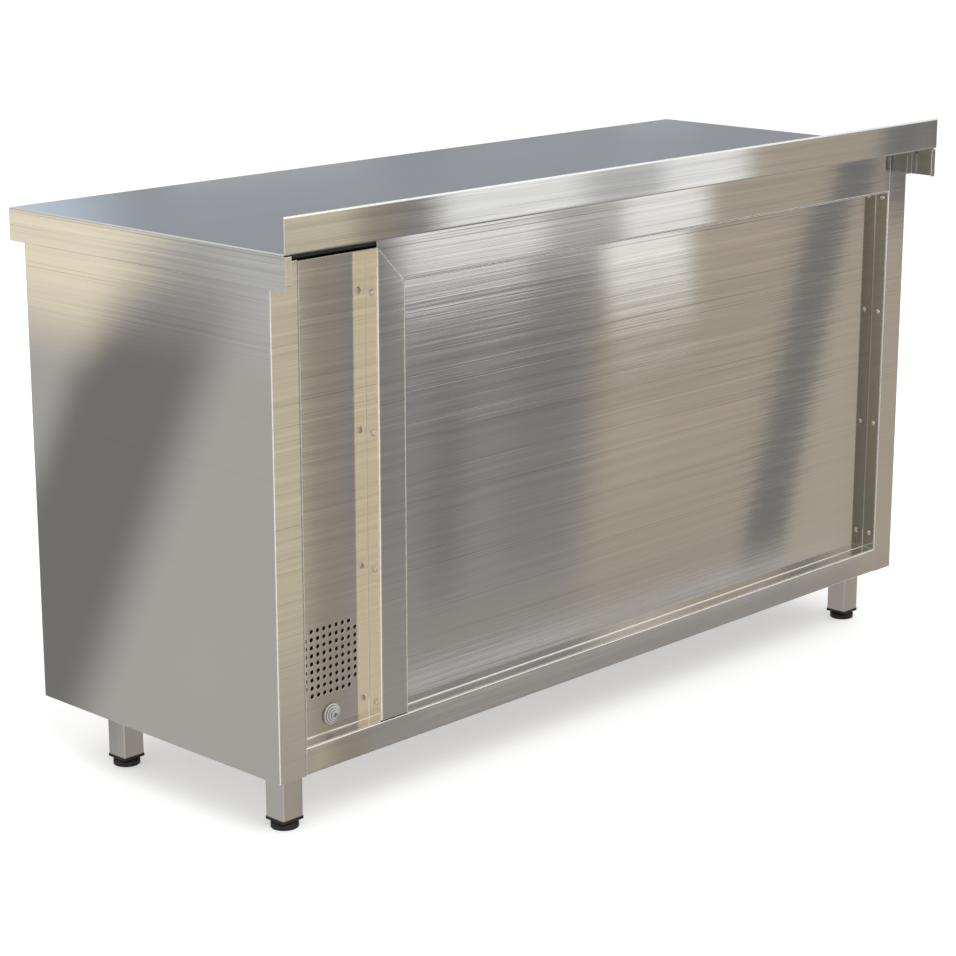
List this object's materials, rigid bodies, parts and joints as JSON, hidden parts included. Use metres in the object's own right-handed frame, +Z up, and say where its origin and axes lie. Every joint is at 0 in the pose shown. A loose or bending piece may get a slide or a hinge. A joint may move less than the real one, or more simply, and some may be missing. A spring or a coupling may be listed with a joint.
{
  "type": "plate warmer cabinet",
  "caption": "Free-standing heated plate cabinet: folded steel body on square legs, worktop with upstand, hanging sliding doors, fan-heated chamber, framed back with vent.",
  "frame": {"origin": "on the floor under the middle of the worktop", "axes": "+Z up, X along the worktop, +Y towards the back with the upstand, which the picture shows"},
  "size_m": [1.5, 0.6, 0.9],
  "materials": {
    "worktop_steel": "fine satin",
    "body_steel": "satin, grain along the length",
    "liner_steel": "bright annealed",
    "door_steel": "satin, grain along the length",
    "track_steel": "bright folded profile",
    "leg_steel": "satin tube",
    "screw_steel": "polished heads",
    "core_board": "dark laminated board",
    "black_plastic": "moulded, matt",
    "control_plastic": "fine texture",
    "nylon": "natural nylon",
    "grommet_rubber": "light grey rubber",
    "mineral_wool": "pressed fibre",
    "lamp_lens": "clear amber",
    "motor_casting": "as cast",
    "heater_tube": "heat-tinted",
    "terminal_plastic": "moulded"
  },
  "bodies": {
    "cabinet": {"worktop": "worktop_steel", "worktop_board": "core_board", "left_side_panel": "body_steel", "right_side_panel": "body_steel", "rear_top_rail": "body_steel", "rear_stile": "body_steel", "rear_bottom_rail": "body_steel", "main_rear_panel": "body_steel", "service_rear_panel": "body_steel", "cable_grommet": "grommet_rubber", "rear_panel_screws": "screw_steel", "bottom_panel": "body_steel", "front_left_leg": "leg_steel", "front_right_leg": "leg_steel", "rear_left_leg": "leg_steel", "rear_right_leg": "leg_steel", "leg_plugs": "black_plastic", "left_liner": "liner_steel", "partition_liner": "liner_steel", "back_liner": "liner_steel", "top_liner": "liner_steel", "floor_liner": "liner_steel", "insulation": "mineral_wool", "shelf": "liner_steel", "left_shelf_support": "liner_steel", "right_shelf_support": "liner_steel", "front_top_rail": "body_steel", "front_bottom_rail": "body_steel", "front_door_post": "body_steel", "control_panel": "body_steel", "top_track": "track_steel", "bottom_track": "track_steel", "thermostat_body": "control_plastic", "switch_housing": "control_plastic", "pilot_lamp": "lamp_lens", "fan_motor": "motor_casting", "fan_cover": "liner_steel", "ring_heater": "heater_tube", "terminal_block": "terminal_plastic"},
    "left_door": {"left_door_skin": "door_steel", "left_door_back": "door_steel", "left_door_handle": "door_steel", "left_door_hangers": "track_steel", "left_door_guides": "nylon"},
    "right_door": {"right_door_skin": "door_steel", "right_door_back": "door_steel", "right_door_handle": "door_steel", "right_door_hangers": "track_steel", "right_door_guides": "nylon"},
    "left_roller_a": {"left_door_roller_a": "nylon"},
    "left_roller_b": {"left_door_roller_b": "nylon"},
    "right_roller_a": {"right_door_roller_a": "nylon"},
    "right_roller_b": {"right_door_roller_b": "nylon"},
    "thermostat_knob": {"thermostat_knob": "control_plastic"},
    "switch_rocker": {"switch_rocker": "control_plastic"},
    "fan_wheel": {"fan_impeller": "liner_steel"},
    "front_left_foot": {"front_left_foot": "black_plastic"},
    "front_right_foot": {"front_right_foot": "black_plastic"},
    "rear_left_foot": {"rear_left_foot": "black_plastic"},
    "rear_right_foot": {"rear_right_foot": "black_plastic"}
  },
  "joints": [
    {"name": "left_door_slide", "type": "slide", "parent": "cabinet", "child": "left_door", "axis": [1, 0, 0], "range_m": [0, 0.575]},
    {"name": "right_door_slide", "type": "slide", "parent": "cabinet", "child": "right_door", "axis": [1, 0, 0], "range_m": [-0.575, 0]},
    {"name": "left_roller_a_spin", "type": "hinge", "parent": "left_door", "child": "left_roller_a", "pos_m": [-0.62, -0.278, 0.805], "axis": [0, 1, 0], "continuous": true},
    {"name": "left_roller_b_spin", "type": "hinge", "parent": "left_door", "child": "left_roller_b", "pos_m": [-0.1545, -0.278, 0.805], "axis": [0, 1, 0], "continuous": true},
    {"name": "right_roller_a_spin", "type": "hinge", "parent": "right_door", "child": "right_roller_a", "pos_m": [-0.0445, -0.252, 0.805], "axis": [0, 1, 0], "continuous": true},
    {"name": "right_roller_b_spin", "type": "hinge", "parent": "right_door", "child": "right_roller_b", "pos_m": [0.421, -0.252, 0.805], "axis": [0, 1, 0], "continuous": true},
    {"name": "thermostat_turn", "type": "hinge", "parent": "cabinet", "child": "thermostat_knob", "pos_m": [0.61, -0.287, 0.7], "axis": [0, 1, 0], "range_deg": [0, 270]},
    {"name": "switch_rock", "type": "hinge", "parent": "cabinet", "child": "switch_rocker", "pos_m": [0.61, -0.273, 0.625], "axis": [-1, 0, 0], "range_deg": [0, 20]},
    {"name": "fan_spin", "type": "hinge", "parent": "cabinet", "child": "fan_wheel", "pos_m": [0.492, -0.01585, 0.28], "axis": [1, 0, 0], "continuous": true},
    {"name": "front_left_foot_screw", "type": "slide", "parent": "cabinet", "child": "front_left_foot", "axis": [0, 0, -1], "range_m": [0, 0.025]},
    {"name": "front_right_foot_screw", "type": "slide", "parent": "cabinet", "child": "front_right_foot", "axis": [0, 0, -1], "range_m": [0, 0.025]},
    {"name": "rear_left_foot_screw", "type": "slide", "parent": "cabinet", "child": "rear_left_foot", "axis": [0, 0, -1], "range_m": [0, 0.025]},
    {"name": "rear_right_foot_screw", "type": "slide", "parent": "cabinet", "child": "rear_right_foot", "axis": [0, 0, -1], "range_m": [0, 0.025]}
  ],
  "couplings": [
    {"joint": "left_roller_a_spin", "follows": "left_door_slide", "rad_per_m": 90.909},
    {"joint": "left_roller_b_spin", "follows": "left_door_slide", "rad_per_m": 90.909},
    {"joint": "right_roller_a_spin", "follows": "right_door_slide", "rad_per_m": 90.909},
    {"joint": "right_roller_b_spin", "follows": "right_door_slide", "rad_per_m": 90.909}
  ]
}
